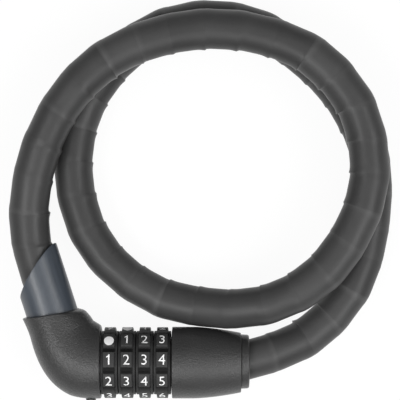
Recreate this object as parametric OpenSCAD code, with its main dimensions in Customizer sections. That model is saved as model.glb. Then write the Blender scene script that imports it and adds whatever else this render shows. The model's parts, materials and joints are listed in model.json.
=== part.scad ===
// Combination cable lock: an armoured cable coiled twice, one end fixed in the barrel
// and the other in an elbow plug whose toothed pin slides out when the code is set.

/* [Barrel] */
// Outer radius of the barrel and of the elbow at the dials
barrel_r = 13.7; // [13.2:0.1:14.4]
// Distance of the barrel's axis in front of the loop's centre
barrel_offset = 62.5; // [62.5:0.1:64]
// Length of the housing behind the dials
housing_len = 26.4; // [25:0.2:28]
// Radius lost by the housing towards its cable end
housing_taper = 2.2; // [1:0.1:2.6]
// Wall of the housing
housing_wall = 1.6; // [1.2:0.1:1.8]
// Outer radius of the collar at the cable exit
collar_r = 10.4; // [10.2:0.1:11]
// Length of the collar
collar_len = 3.1; // [2.5:0.1:4]

/* [Dials] */
// Distance from one dial to the next
dial_pitch = 6.7; // [6.5:0.1:7]
// Gap between two neighbouring dials
dial_gap = 0.3; // [0.2:0.05:0.5]
// Distance from the dials' finger pads to the barrel's outline
pad_drop = 0.15; // [0.1:0.05:0.6]
// Depth of the grooves between the finger pads
groove_depth = 1.4; // [0.8:0.1:1.6]
// Width of the grooves between the finger pads, at the top
groove_w = 3.1; // [2.6:0.1:3.6]
// Width of the grooves at their floor
groove_floor_w = 1.1; // [0.6:0.1:2]
// Width of a finger pad along the axis
pad_w = 4.5; // [4:0.1:5]
// Bevel on the finger pads' edges
pad_bevel = 0.35; // [0.1:0.05:0.5]
// Turn of the digit rows from straight up
digit_turn = 10.9; // [0:0.1:16]
// Radius of the bore of a dial
dial_bore_r = 9.2; // [9:0.1:10]

/* [Code rings] */
// Width of a code ring
ring_w = 4.6; // [4.2:0.1:4.8]
// Depth of the gate that lets a tooth of the pin pass
gate_depth = 1.55; // [1.3:0.05:2]
// Width of the key between a dial and its code ring
key_w = 2; // [1.6:0.1:3]
// Depth of the key
key_depth = 0.8; // [0.5:0.1:1.2]
// Radius of the click notches in a code ring
click_r = 0.6; // [0.5:0.05:0.8]

/* [Core tube] */
// Outer radius of the slotted core tube
tube_r = 5.2; // [5:0.1:5.4]
// Radius of the plug's pin
pin_r = 3; // [2.6:0.1:3]
// Radial running clearance of the pin and of the code rings
run_gap = 0.08; // [0.04:0.01:0.1]
// Side clearance of the teeth in their slot
tooth_gap = 0.3; // [0.2:0.05:0.4]
// Thickness of a tooth across the slot
tooth_t = 2.4; // [1.8:0.1:2.6]
// Width of a tooth along the pin
tooth_w = 1.4; // [1:0.1:1.6]
// Height of a tooth over the core tube
tooth_rise = 1.2; // [0.8:0.1:1.2]

/* [Elbow] */
// Angle that the elbow turns through
elbow_turn = 72; // [72:0.5:74]
// Radius of the elbow's bend
elbow_bend = 17; // [16.5:0.1:17.5]
// Distance from the dials to the corner of the elbow's axis
elbow_reach = 12.85; // [12.8:0.05:13.4]
// Distance from that corner to the elbow's mouth
mouth_reach = 20; // [19.4:0.1:21]
// Outer radius of the elbow at its mouth
mouth_r = 11.45; // [11.4:0.05:11.8]
// Lean of the mouth's rim towards the inner side
mouth_lean = 7.7; // [0:0.1:10]
// Wall of the elbow's cover at its mouth
elbow_wall = 1.55; // [1.4:0.05:1.7]
// Rounding out of the elbow's inner side
elbow_fill = 2.75; // [0:0.05:3]
// How far the elbow's outer side stands out at its corner and draws in at its neck
elbow_square = 1.3; // [0:0.05:1.35]
// Radius of the index stud
stud_r = 2; // [1.5:0.1:2.5]
// Height of the index stud over the elbow
stud_rise = 1.4; // [0.8:0.1:2]

/* [Sleeve] */
// Radial clearance of the sleeve in the elbow's mouth
sleeve_seat = 0.1; // [0.05:0.01:0.2]
// Radial clearance of the cable in the sleeve
sleeve_gap = 0.4; // [0.3:0.05:0.5]
// Length of the sleeve outside the elbow at its axis
sleeve_len = 17.1; // [14:0.1:22]
// Slant of the sleeve's cut end across the cable
cut_slant = 39; // [20:0.1:42]
// Lean of the sleeve's cut end backwards
cut_lean = 12; // [0:1:20]

/* [Cable] */
// Radius of the cable over its skin
cable_r = 7.5; // [7.2:0.1:7.5]
// Thickness of the skin
skin_t = 1; // [0.8:0.1:1.1]
// Outer radius of an armour shell
shell_r = 5.9; // [5.6:0.1:5.95]
// Radius of the wire rope
rope_r = 3; // [2.6:0.1:3]
// Distance from one armour shell to the next
shell_pitch = 13; // [12.5:0.1:14]
// Height of the cable's lower coil over the ground
coil_low = 7.6; // [7.6:0.1:8]
// Height of the cable's upper coil, which lies on the lower one
coil_high = 22.8; // [22.8:0.1:24]

/* [Hidden] */
$fn = 64;
dial_count = 4;
digits = 10;
digit_step = 360 / digits;
// clearances of fixed seats
seat_gap = 0.05;
face_gap = 0.15;
body_gap = 0.3;
over = 1;
// places along the barrel
stack_x = -37.8;
stack_end = stack_x + dial_count * dial_pitch;
housing_x = stack_end + dial_gap;
housing_end = housing_x + housing_len;
collar_end = housing_end + collar_len;
block_x = stack_end + spacer_w() / 2 + face_gap;
block_len = 21.5;
block_end = block_x + block_len;
flange_t = 1.4;
flange_x = stack_x - face_gap - flange_t;
core_x = flange_x - body_gap;
core_disc_t = 2;
// dials, rings and tube
dial_w = dial_pitch - dial_gap;
pad_r = barrel_r - pad_drop;
band_r = pad_r - groove_depth;
ring_bore_r = tube_r + run_gap;
ring_r = dial_bore_r - 2 * seat_gap;
tube_bore_r = pin_r + run_gap;
tube_seat_depth = 9;
tube_end = block_x + tube_seat_depth;
slot_w = tooth_t + 2 * tooth_gap;
tooth_top = tube_r + tooth_rise;
gate_top = tube_r + gate_depth;
pin_tip_x = stack_end + tooth_w / 2 + 0.7;
pin_root_x = core_x - 8.4;
cross_pin_r = 1.25;
cross_pin_x = tube_end - 4.2;
dowel_r = 1;
dowel_x = core_x - 5.4;
strip_t = 0.5;
strip_w = 2.4;
strip_gap = 0.1;
strip_floor = tube_r - 0.9;
click_tip = click_r - 0.1;
click_len = 1.6;
// elbow
corner_x = stack_x - elbow_reach;
bend_len = elbow_bend * tan(elbow_turn / 2);
mouth_angle = 180 - elbow_turn;
elbow_x = stack_x - face_gap;
elbow_core_r = mouth_r - elbow_wall - 0.4;
sleeve_r = mouth_r - elbow_wall - sleeve_seat;
sleeve_start = bend_len + body_gap;
// ferrules
ferrule_r = 5.5;
ferrule_bore_r = rope_r + 0.25;
ferrule_groove = 1.1;
ferrule_pin_r = 1.2;
ferrule_pin_place = ferrule_r - ferrule_groove + ferrule_pin_r + seat_gap;
barrel_ferrule_len = 10;
barrel_ferrule_x = block_end - barrel_ferrule_len;
plug_ferrule_start = 5.6;
plug_ferrule_end = bend_len - 0.1;
// the cable's ends, on the axes of the barrel and of the elbow's mouth
axis_y = -barrel_offset;
axis_z = barrel_r;
rope_start_x = barrel_ferrule_x + 0.5;
corner = [corner_x, axis_y, axis_z];
mouth_dir = [cos(mouth_angle), sin(mouth_angle), 0];
rope_stop = plug_ferrule_start + 0.5;
cable_sides = 12;
rope_sides = 12;

// the cable's route between its ends, from the barrel round twice to the sleeve
route_middle = [
    [20, -61.2, 13.4], [37, -55.8, 9.4], [48.8, -47.4, coil_low], [58, -36, coil_low],
    [63.9, -21.2, coil_low], [67, -2, coil_low], [66, 18.2, coil_low],
    [56.9, 38.2, coil_low], [42.6, 54, coil_low], [23, 66.6, coil_low],
    [3.5, 70.3, coil_low], [-14, 67, coil_low], [-29.7, 57.2, coil_low],
    [-42, 42.5, coil_low], [-48.5, 25, coil_low], [-49, 7, coil_low],
    [-44, -11.5, coil_low], [-33, -26.5, 7.7], [-16.5, -37.2, 9], [1, -41, 11.5],
    [16, -41.2, 15.3], [29, -38.5, 19.4], [41, -32.5, 22], [51, -23, coil_high],
    [59, -10, coil_high], [64.1, 5, coil_high], [63.5, 23, coil_high],
    [56.8, 40.2, coil_high], [41.3, 55.8, coil_high], [22, 63, coil_high],
    [3, 65, coil_high], [-16, 62, coil_high], [-33, 55, coil_high],
    [-46.2, 44, 22.6], [-56.5, 29.5, 21], [-63, 12.5, 18.2], [-65.8, -4, 15.2]
];
route = concat(
    [for (x = [rope_start_x, rope_start_x + 6, rope_start_x + 11.5]) [x, axis_y, axis_z]],
    route_middle,
    [for (s = [mouth_reach + 24, mouth_reach + 12, mouth_reach, rope_stop]) corner + s * mouth_dir]
);

function spacer_w() = dial_pitch - ring_w - 2 * face_gap;
function dial_x(k) = stack_x + (k - 0.5) * dial_pitch;
function spacer_x(k) = stack_x + k * dial_pitch;

// a smooth curve through points: each span bends towards its neighbours
function span_point(a, b, c, d, t) =
    0.5 * (2 * b + t * (c - a) + t * t * (2 * a - 5 * b + 4 * c - d)
    + t * t * t * (3 * b - a - 3 * c + d));
function neighbour(p, i) =
    i < 0 ? 2 * p[0] - p[1] : i >= len(p) ? 2 * p[len(p) - 1] - p[len(p) - 2] : p[i];
span_steps = 12;
curve = concat(
    [for (i = [0 : len(route) - 2], k = [0 : span_steps - 1]) span_point(
        neighbour(route, i - 1), route[i], route[i + 1], neighbour(route, i + 2), k / span_steps)],
    [route[len(route) - 1]]
);
// distance along the curve at each of its points
travel = [
    for (i = 0, s = 0; i < len(curve);
        i = i + 1, s = i < len(curve) ? s + norm(curve[i] - curve[i - 1]) : s) s
];
cable_len = travel[len(travel) - 1];
shell_count = round(cable_len / shell_pitch);
step_len = cable_len / shell_count;
track = [for (k = [0 : 2]) [for (i = [0 : len(curve) - 1]) [travel[i], curve[i][k]]]];
function place(s) = [for (k = [0 : 2]) lookup(s, track[k])];
// the joints between armour shells
joints = [for (i = [0 : shell_count]) place(i * step_len)];

function unit(v) = v / norm(v);
// direction of the cable at a joint: midway between its two shells
function along(p, i) = unit(
    (i > 0 ? unit(p[i] - p[i - 1]) : [0, 0, 0])
    + (i < len(p) - 1 ? unit(p[i + 1] - p[i]) : [0, 0, 0])
);
// a ring of points round a joint, square to the cable
function ring(p, i, r, sides) =
    let (t = along(p, i), n = unit(cross([0, 0, 1], t)), b = cross(t, n))
    [for (k = [0 : sides - 1]) p[i] + r * (cos(360 * k / sides) * n + sin(360 * k / sides) * b)];

// a tube or a rod swept along joints; a rod has no inner radius
module swept(p, r, inner, sides) {
    rings = len(p);
    outer_pts = [for (i = [0 : rings - 1]) each ring(p, i, r, sides)];
    inner_pts = inner > 0 ? [for (i = [0 : rings - 1]) each ring(p, i, inner, sides)] : [];
    n = len(outer_pts);
    last = n - sides;
    wall = function(from, flip) [
        for (i = [0 : rings - 2], k = [0 : sides - 1])
            let (a = from + i * sides + k, b = from + i * sides + (k + 1) % sides)
            each flip ? [[a, b, b + sides], [a, b + sides, a + sides]]
                : [[a, b + sides, b], [a, a + sides, b + sides]]
    ];
    caps = inner > 0
        ? [for (k = [0 : sides - 1]) let (m = (k + 1) % sides)
            each [[k, m, n + m], [k, n + m, n + k],
                [last + k, n + last + m, last + m], [last + k, n + last + k, n + last + m]]]
        : [[for (k = [0 : sides - 1]) k], [for (k = [sides - 1 : -1 : 0]) last + k]];
    polyhedron(concat(outer_pts, inner_pts),
        concat(wall(0, false), inner > 0 ? wall(n, true) : [], caps), convexity = 8);
}

// places its children on the barrel's axis, with their Z along the barrel
module on_axis(x = 0) translate([x, axis_y, axis_z]) rotate([0, 90, 0]) children();
// turns children on that axis so that their X points at an angle from straight up
module facing(turn) rotate([0, 0, 180 - turn]) children();
// places its children at the elbow's corner, with their Z out of the mouth
module on_mouth(s = 0) translate(corner + s * mouth_dir) rotate([0, 0, mouth_angle])
    rotate([0, 90, 0]) children();

module tube(r, bore, h) difference() {
    cylinder(r = r, h = h);
    translate([0, 0, -over]) cylinder(r = bore, h = h + 2 * over);
}
// the slot that the teeth run in, cut from the axis to a given radius
module tooth_slot(top, h) facing(0) translate([0, -slot_w / 2, -over]) cube([top, slot_w, h + 2 * over]);

housing_steps = 14;
function housing_r_at(u) = barrel_r - housing_taper * pow(max(0, (u - 0.3) / 0.7), 1.6);
module barrel_housing() color("dimgray") on_axis(housing_x) rotate_extrude() polygon(concat(
    [for (i = [0 : housing_steps]) let (u = i / housing_steps) [housing_r_at(u), u * housing_len]],
    [for (i = [housing_steps : -1 : 0]) let (u = i / housing_steps)
        [housing_r_at(u) - housing_wall, u * housing_len]]
));

block_r = barrel_r - housing_taper - housing_wall - seat_gap;
block_rib_r = barrel_r - housing_wall - seat_gap;
block_rib_len = 6;
// the block's rim reaches round the last spacer ring, up to the last dial
block_rim_x = stack_end + face_gap;
module anchor_block() color("silver") difference() {
    union() {
        on_axis(block_x) cylinder(r = block_r, h = block_len);
        on_axis(block_rim_x) cylinder(r = block_rib_r, h = block_x + block_rib_len - block_rim_x);
    }
    on_axis(block_rim_x - over) cylinder(r = spacer_r + seat_gap, h = block_x - block_rim_x + over);
    on_axis(block_x - over) cylinder(r = tube_r + seat_gap, h = tube_seat_depth + over + seat_gap);
    on_axis(barrel_ferrule_x - seat_gap)
        cylinder(r = ferrule_r + seat_gap, h = barrel_ferrule_len + over);
    translate([cross_pin_x, axis_y, axis_z]) rotate([0, 0, 90])
        cylinder(r = cross_pin_r + seat_gap, h = 3 * barrel_r, center = true);
    translate([barrel_ferrule_x + barrel_ferrule_len / 2, axis_y - ferrule_pin_place, axis_z])
        cylinder(r = ferrule_pin_r + seat_gap, h = 3 * barrel_r, center = true);
}

module core_tube() color("lightsteelblue") difference() {
    on_axis(flange_x) cylinder(r = tube_r, h = tube_end - flange_x);
    on_axis(flange_x - over) cylinder(r = tube_bore_r, h = tube_end - flange_x + 2 * over);
    on_axis(flange_x) tooth_slot(tube_r + over, pin_tip_x - flange_x);
    on_axis(stack_x) facing(180) translate([strip_floor, -strip_w / 2 - strip_gap, 0])
        cube([tube_r, strip_w + 2 * strip_gap, stack_end - stack_x]);
    translate([cross_pin_x, axis_y, axis_z])
        cylinder(r = cross_pin_r + seat_gap, h = 3 * barrel_r, center = true);
}

cross_pin_len = 2 * (block_r - 0.8);
module tube_cross_pin() color("gainsboro") translate([cross_pin_x, axis_y, axis_z])
    cylinder(r = cross_pin_r, h = cross_pin_len, center = true);

spacer_r = dial_bore_r - key_depth - seat_gap;
module spacer_rings() color("goldenrod") for (k = [1 : dial_count])
    on_axis(spacer_x(k) - spacer_w() / 2) difference() {
        tube(spacer_r, tube_r + seat_gap, spacer_w());
        tooth_slot(gate_top, spacer_w());
    }

flange_r = dial_bore_r + 1.2;
module end_flange() color("silver") on_axis(flange_x) difference() {
    tube(flange_r, tube_r + seat_gap, flange_t);
    tooth_slot(gate_top, flange_t);
}

module detent_strip() color("lightsteelblue") {
    on_axis(stack_x + face_gap) facing(180) {
        translate([strip_floor + seat_gap, -strip_w / 2, 0])
            cube([strip_t, strip_w, stack_end - stack_x - 2 * face_gap]);
        for (k = [1 : dial_count])
            translate([tube_r, 0, (k - 0.5) * dial_pitch - face_gap])
                cylinder(r = click_tip, h = click_len, center = true);
    }
}

collar_bore_r = cable_r + 1.5;
collar_bevel = 0.6;
collar_lift = 0.4;
module end_collar() color("dimgray") translate([0, collar_lift, 0])
    on_axis(housing_end + seat_gap) rotate_extrude() polygon([
        [collar_bore_r, 0], [collar_r, 0], [collar_r, collar_len - collar_bevel],
        [collar_r - collar_bevel, collar_len], [collar_bore_r, collar_len]
    ]);

// a crimped ferrule with a groove for its retaining pin
module ferrule(length) difference() {
    tube(ferrule_r, ferrule_bore_r, length);
    translate([0, 0, length / 2]) rotate_extrude() translate([ferrule_r - ferrule_groove, 0])
        translate([0, -ferrule_pin_r - seat_gap])
            square([2 * ferrule_groove, 2 * ferrule_pin_r + 2 * seat_gap]);
}
module barrel_ferrule() color("gainsboro") on_axis(barrel_ferrule_x) ferrule(barrel_ferrule_len);
barrel_pin_len = 13;
module barrel_ferrule_pin() color("gainsboro")
    translate([barrel_ferrule_x + barrel_ferrule_len / 2, axis_y - ferrule_pin_place, axis_z])
        cylinder(r = ferrule_pin_r, h = barrel_pin_len, center = true);

module cable_rope() color("gray") swept(joints, rope_r, 0, rope_sides);
skinned = [for (i = [1 : shell_count - 1]) joints[i]];
module cable_sheath() color([0.22, 0.22, 0.23])
    swept(skinned, cable_r, cable_r - skin_t, cable_sides);

// one armour shell from its round nose at 0 to the socket round the next joint
nose_r = shell_r - 0.9;
socket_r = shell_r - 0.6;
shell_bore_r = rope_r + 0.85;
shell_cut = 1.05;
nose_reach = 1.8;
arc_steps = 4;
socket_floor = sqrt(socket_r * socket_r - shell_bore_r * shell_bore_r);
nose_from = asin(-nose_reach / nose_r);
nose_to = asin(shell_cut / nose_r);
socket_from = asin(-shell_cut / socket_r);
socket_to = asin(-socket_floor / socket_r);
module armour_shell(length) rotate_extrude() polygon(concat(
    [[shell_bore_r, -nose_reach]],
    [for (i = [0 : arc_steps]) let (a = nose_from + (nose_to - nose_from) * i / arc_steps)
        nose_r * [cos(a), sin(a)]],
    [[shell_r, shell_cut], [shell_r, length - shell_cut]],
    [for (i = [0 : arc_steps]) let (a = socket_from + (socket_to - socket_from) * i / arc_steps)
        [socket_r * cos(a), length + socket_r * sin(a)]]
));
module armour_shells() color("silver") for (i = [1 : shell_count - 2])
    let (d = joints[i + 1] - joints[i])
    translate(joints[i]) rotate([0, acos(d[2] / norm(d)), atan2(d[1], d[0])])
        armour_shell(norm(d), $fn = 32);

// outline of a groove between two pads, with leaning sides
module groove() polygon([
    [band_r, groove_floor_w / 2], [pad_r, groove_w / 2], [pad_r + over, groove_w / 2],
    [pad_r + over, -groove_w / 2], [pad_r, -groove_w / 2], [band_r, -groove_floor_w / 2]
]);
// a dial: a band with ten finger pads and a key on its bore
module dial(k) color([0.25, 0.25, 0.26]) on_axis(dial_x(k)) union() {
    difference() {
        union() {
            translate([0, 0, -dial_w / 2]) cylinder(r = band_r, h = dial_w);
            rotate_extrude() polygon([
                [band_r - over, -pad_w / 2], [pad_r - pad_bevel, -pad_w / 2],
                [pad_r, -pad_w / 2 + pad_bevel], [pad_r, pad_w / 2 - pad_bevel],
                [pad_r - pad_bevel, pad_w / 2], [band_r - over, pad_w / 2]
            ]);
        }
        translate([0, 0, -dial_w]) cylinder(r = dial_bore_r, h = 2 * dial_w);
        for (i = [0 : digits - 1]) facing(digit_turn + (i + 0.5) * digit_step)
            translate([0, 0, -dial_w]) linear_extrude(2 * dial_w) groove();
    }
    facing(90) translate([dial_bore_r - key_depth, -key_w / 2, -ring_w / 2 + face_gap])
        cube([key_depth + 0.5, key_w, ring_w - 2 * face_gap]);
}
module dial_1() dial(1);
module dial_2() dial(2);
module dial_3() dial(3);
module dial_4() dial(4);

// a code ring: ten click notches, the gate for the pin's tooth and the dial's keyway
module code_ring(k) color("darkgoldenrod") on_axis(dial_x(k) - ring_w / 2) difference() {
    tube(ring_r, ring_bore_r, ring_w);
    tooth_slot(gate_top, ring_w);
    for (i = [0 : digits - 1]) facing(180 + i * digit_step) translate([tube_r, 0, -over])
        cylinder(r = click_r, h = ring_w + 2 * over, $fn = 24);
    facing(90) translate([dial_bore_r - key_depth - seat_gap, -key_w / 2 - seat_gap, -over])
        cube([ring_r, key_w + 2 * seat_gap, ring_w + 2 * over]);
}
module code_ring_1() code_ring(1);
module code_ring_2() code_ring(2);
module code_ring_3() code_ring(3);
module code_ring_4() code_ring(4);

// the elbow's cover: rings from the dials through the bend to the mouth
elbow_sides = 36;
elbow_rings = 14;
elbow_wall_dial = elbow_wall + 0.2;
bend_x = corner_x + bend_len;
bend_centre = [bend_x, axis_y + elbow_bend, axis_z];
function share_at(a) = 0.05 + 0.7 * a / elbow_turn;
function elbow_place(a) = bend_centre + elbow_bend * [-sin(a), -cos(a), 0];
// centre, inward direction and share of the way, for each ring
neck_side = [sin(elbow_turn), cos(elbow_turn), 0];
rim_side = neck_side - tan(mouth_lean) * mouth_dir;
elbow_line = concat(
    [[[elbow_x, axis_y, axis_z], [0, 1, 0], 0]],
    [for (i = [0 : elbow_rings]) let (a = elbow_turn * i / elbow_rings)
        [elbow_place(a), [sin(a), cos(a), 0], share_at(a)]],
    [[corner + (mouth_reach + bend_len) / 2 * mouth_dir, (neck_side + rim_side) / 2, 0.88],
        [corner + mouth_reach * mouth_dir, rim_side, 1]]
);
function elbow_r(u) = barrel_r + (mouth_r - barrel_r) * pow(u, 1.3);
function elbow_inner(u) = elbow_fill * pow(u, 0.45) * (1 - pow(u, 6));
function elbow_outer(u) = elbow_square * sin(360 * u) * min(1, 4 * u);
// radius of the cover's inside, from the dials to the neck, where the sleeve sits in it
neck_from = 0.6;
neck_r = mouth_r - elbow_wall;
function elbow_seat(u) = neck_r + (barrel_r - elbow_wall_dial - neck_r) * max(0, 1 - u / neck_from);
function elbow_ring(row, inside) = [for (k = [0 : elbow_sides - 1])
    let (c = cos(360 * k / elbow_sides), s = sin(360 * k / elbow_sides), u = row[2],
        swell = elbow_inner(u) * pow(max(0, c), 3) + elbow_outer(u) * pow(max(0, -c), 3),
        r = inside ? elbow_seat(u) : elbow_r(u) + swell)
    row[0] + r * (c * row[1] + s * [0, 0, 1])];
module elbow_cover() color([0.25, 0.25, 0.26]) {
    rows = len(elbow_line);
    pts = concat(
        [for (row = elbow_line) each elbow_ring(row, false)],
        [for (row = elbow_line) each elbow_ring(row, true)]
    );
    n = rows * elbow_sides;
    last = n - elbow_sides;
    faces = [
        for (i = [0 : rows - 2], k = [0 : elbow_sides - 1])
            let (a = i * elbow_sides + k, b = i * elbow_sides + (k + 1) % elbow_sides)
            each [[a, b, b + elbow_sides], [a, b + elbow_sides, a + elbow_sides],
                [n + a, n + b + elbow_sides, n + b], [n + a, n + a + elbow_sides, n + b + elbow_sides]],
        for (k = [0 : elbow_sides - 1]) let (m = (k + 1) % elbow_sides)
            each [[k, n + m, m], [k, n + k, n + m],
                [last + k, last + m, n + last + m], [last + k, n + last + m, n + last + k]]
    ];
    polyhedron(pts, faces, convexity = 6);
}

core_disc_r = barrel_r - elbow_wall_dial - 1;
plug_ferrule_mid = (plug_ferrule_start + plug_ferrule_end) / 2;
module elbow_core() color("silver") difference() {
    union() {
        on_axis(core_x - core_disc_t) cylinder(r = core_disc_r, h = core_disc_t);
        translate(bend_centre) rotate([0, 0, -90 - elbow_turn]) rotate_extrude(angle = elbow_turn)
            translate([elbow_bend, 0]) circle(r = elbow_core_r);
    }
    on_axis(core_x) cylinder(r = 2 * barrel_r, h = elbow_bend);
    on_axis(pin_root_x - seat_gap) cylinder(r = pin_r + seat_gap, h = core_x - pin_root_x + over);
    on_mouth(plug_ferrule_start - seat_gap) cylinder(r = ferrule_r + seat_gap, h = bend_len);
    translate([dowel_x, axis_y, axis_z]) cylinder(r = dowel_r + seat_gap, h = 3 * barrel_r, center = true);
    on_mouth(plug_ferrule_mid) translate([0, ferrule_pin_place, 0]) rotate([0, 90, 0])
        cylinder(r = ferrule_pin_r + seat_gap, h = 3 * barrel_r, center = true);
}

pin_bevel = 0.5;
module plug_pin() color("lightsteelblue") difference() {
    union() {
        on_axis(pin_root_x) rotate_extrude() polygon([
            [0, 0], [pin_r, 0], [pin_r, pin_tip_x - pin_root_x - pin_bevel],
            [pin_r - pin_bevel, pin_tip_x - pin_root_x], [0, pin_tip_x - pin_root_x]
        ]);
        for (k = [1 : dial_count]) on_axis(spacer_x(k) - tooth_w / 2) facing(0)
            translate([0, -tooth_t / 2, 0]) cube([tooth_top, tooth_t, tooth_w]);
    }
    translate([dowel_x, axis_y, axis_z]) cylinder(r = dowel_r + seat_gap, h = 3 * barrel_r, center = true);
}

dowel_len = 2 * (elbow_core_r - 1);
module plug_pin_dowel() color("gainsboro") translate([dowel_x, axis_y, axis_z])
    cylinder(r = dowel_r, h = dowel_len, center = true);

module plug_ferrule() color("gainsboro") on_mouth(plug_ferrule_start)
    ferrule(plug_ferrule_end - plug_ferrule_start);
plug_ferrule_pin_len = 11;
module plug_ferrule_pin() color("gainsboro") on_mouth(plug_ferrule_mid)
    translate([0, ferrule_pin_place, 0]) rotate([0, 90, 0])
        cylinder(r = ferrule_pin_r, h = plug_ferrule_pin_len, center = true);

// the sleeve on the cable at the elbow, cut off at a slant
module strain_sleeve() color("slategray") difference() {
    on_mouth(sleeve_start)
        tube(sleeve_r, cable_r + sleeve_gap, mouth_reach - sleeve_start + sleeve_len + 1.3 * sleeve_r);
    on_mouth(mouth_reach + sleeve_len) rotate([-cut_slant, cut_lean, 0])
        translate([-3 * sleeve_r, -3 * sleeve_r, 0]) cube([6 * sleeve_r, 6 * sleeve_r, 3 * sleeve_r]);
}

// the index stud under the cover, at its turn round the bend
stud_turn = 6.7;
stud_share = share_at(stud_turn);
stud_foot = elbow_bend + elbow_r(stud_share) + elbow_outer(stud_share);
module index_stud() color([0.25, 0.25, 0.26])
    translate(bend_centre - stud_foot * [sin(stud_turn), cos(stud_turn), 0] - [0, seat_gap, 0])
        rotate([90, 0, 0]) cylinder(r1 = stud_r, r2 = 0.6 * stud_r, h = stud_rise);

barrel_housing();
anchor_block();
core_tube();
tube_cross_pin();
spacer_rings();
end_flange();
detent_strip();
end_collar();
barrel_ferrule();
barrel_ferrule_pin();
cable_rope();
armour_shells();
cable_sheath();
dial_1();
dial_2();
dial_3();
dial_4();
code_ring_1();
code_ring_2();
code_ring_3();
code_ring_4();
elbow_cover();
elbow_core();
plug_pin();
plug_pin_dowel();
plug_ferrule();
plug_ferrule_pin();
strain_sleeve();
index_stud();
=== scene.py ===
import json
import bmesh
import bpy
import numpy as np
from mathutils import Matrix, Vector

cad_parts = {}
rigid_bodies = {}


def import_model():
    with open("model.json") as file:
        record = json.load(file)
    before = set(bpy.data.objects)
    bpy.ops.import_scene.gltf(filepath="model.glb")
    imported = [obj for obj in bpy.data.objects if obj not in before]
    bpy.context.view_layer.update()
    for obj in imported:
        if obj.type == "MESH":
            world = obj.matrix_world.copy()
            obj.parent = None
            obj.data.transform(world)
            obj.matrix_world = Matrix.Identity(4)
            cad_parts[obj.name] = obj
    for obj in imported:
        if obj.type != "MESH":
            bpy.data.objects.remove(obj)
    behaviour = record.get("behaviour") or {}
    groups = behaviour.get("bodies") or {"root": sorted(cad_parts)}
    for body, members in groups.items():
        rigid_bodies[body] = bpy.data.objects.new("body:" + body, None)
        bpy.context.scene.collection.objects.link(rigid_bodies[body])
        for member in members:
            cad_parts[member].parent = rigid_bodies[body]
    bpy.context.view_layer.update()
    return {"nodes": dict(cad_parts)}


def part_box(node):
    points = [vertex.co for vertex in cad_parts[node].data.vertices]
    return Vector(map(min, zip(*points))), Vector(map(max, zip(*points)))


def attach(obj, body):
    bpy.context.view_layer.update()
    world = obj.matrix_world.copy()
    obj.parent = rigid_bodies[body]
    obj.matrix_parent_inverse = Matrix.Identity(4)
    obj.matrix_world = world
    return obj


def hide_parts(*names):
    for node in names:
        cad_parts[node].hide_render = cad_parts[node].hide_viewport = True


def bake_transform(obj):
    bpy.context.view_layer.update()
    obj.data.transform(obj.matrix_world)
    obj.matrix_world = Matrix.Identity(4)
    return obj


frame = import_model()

print("frame loaded:", len(frame["nodes"]), "nodes")
mm = 0.001
scene = bpy.context.scene
scene.view_settings.view_transform = "Standard"


def middle(node):
    # a node's lowest and highest corners and the point halfway between them
    low, high = (np.array(v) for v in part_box(node))
    return low, high, (low + high) / 2


housingLow, housingHigh, housingMid = middle("barrel_housing")
axisY, axisZ = housingMid[1], housingMid[2]
barrelR = (housingHigh[1] - housingLow[1]) / 2

# camera: straight down on the coiled lock
view = {"height": 0.6, "lens": 137.2, "sensor": 36}
camData = bpy.data.cameras.new("camera")
camData.lens = view["lens"]
camData.sensor_width = view["sensor"]
camData.clip_start = 0.01
camera = bpy.data.objects.new("camera", camData)
camera.location = (0, 0, view["height"])
scene.collection.objects.link(camera)
scene.camera = camera


# mesh helpers
def gridQuads(rows, cols, wrapRows, wrapCols):
    # quad (i, j), (i+1, j), (i+1, j+1), (i, j+1) for every cell, with the index taken modulo where it wraps
    i = np.arange(rows if wrapRows else rows - 1)[:, None]
    j = np.arange(cols if wrapCols else cols - 1)[None, :]
    iNext, jNext = (i + 1) % rows, (j + 1) % cols
    quads = np.stack([i * cols + j, iNext * cols + j, iNext * cols + jNext, i * cols + jNext], -1)
    return quads.reshape(-1, 4)


def onceRound(sides):
    # evenly spaced angles: 360 k / sides
    return np.linspace(0, 2 * np.pi, sides, endpoint=False)


def enclosed(verts, quads):
    # six times the volume: the sum over triangles of a . (b x c), positive when faces point outwards
    a, b, c, d = (verts[quads[:, k]] for k in range(4))
    return (np.cross(b, c) * a).sum() + (np.cross(c, d) * a).sum()


def putMesh(name, verts, quads, body, uv=None, sharp=40):
    # arrays into a mesh, turned outwards, with a crease wherever two faces meet at more than `sharp` degrees
    verts = verts.reshape(-1, 3)
    if enclosed(verts, quads) < 0:
        quads = quads[:, ::-1]
        uv = None if uv is None else uv[:, ::-1]
    mesh = bpy.data.meshes.new(name)
    mesh.vertices.add(len(verts))
    mesh.vertices.foreach_set("co", verts.astype(np.float32).ravel())
    mesh.loops.add(quads.size)
    mesh.loops.foreach_set("vertex_index", np.ascontiguousarray(quads, np.int32).ravel())
    mesh.polygons.add(len(quads))
    mesh.polygons.foreach_set("loop_start", np.arange(0, quads.size, 4, dtype=np.int32))
    if uv is not None:
        layer = mesh.uv_layers.new(name="UVMap")
        layer.data.foreach_set("uv", np.ascontiguousarray(uv, np.float32).ravel())
    mesh.update(calc_edges=True)
    mesh.validate()
    mesh.shade_smooth()
    mesh.set_sharp_from_angle(angle=np.radians(sharp))
    piece = bpy.data.objects.new(name, mesh)
    scene.collection.objects.link(piece)
    if body:
        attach(piece, body)
    return piece


def softStep(v):
    # v v (3 - 2 v), with v held between 0 and 1
    v = np.clip(v, 0, 1)
    return v * v * (3 - 2 * v)


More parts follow.
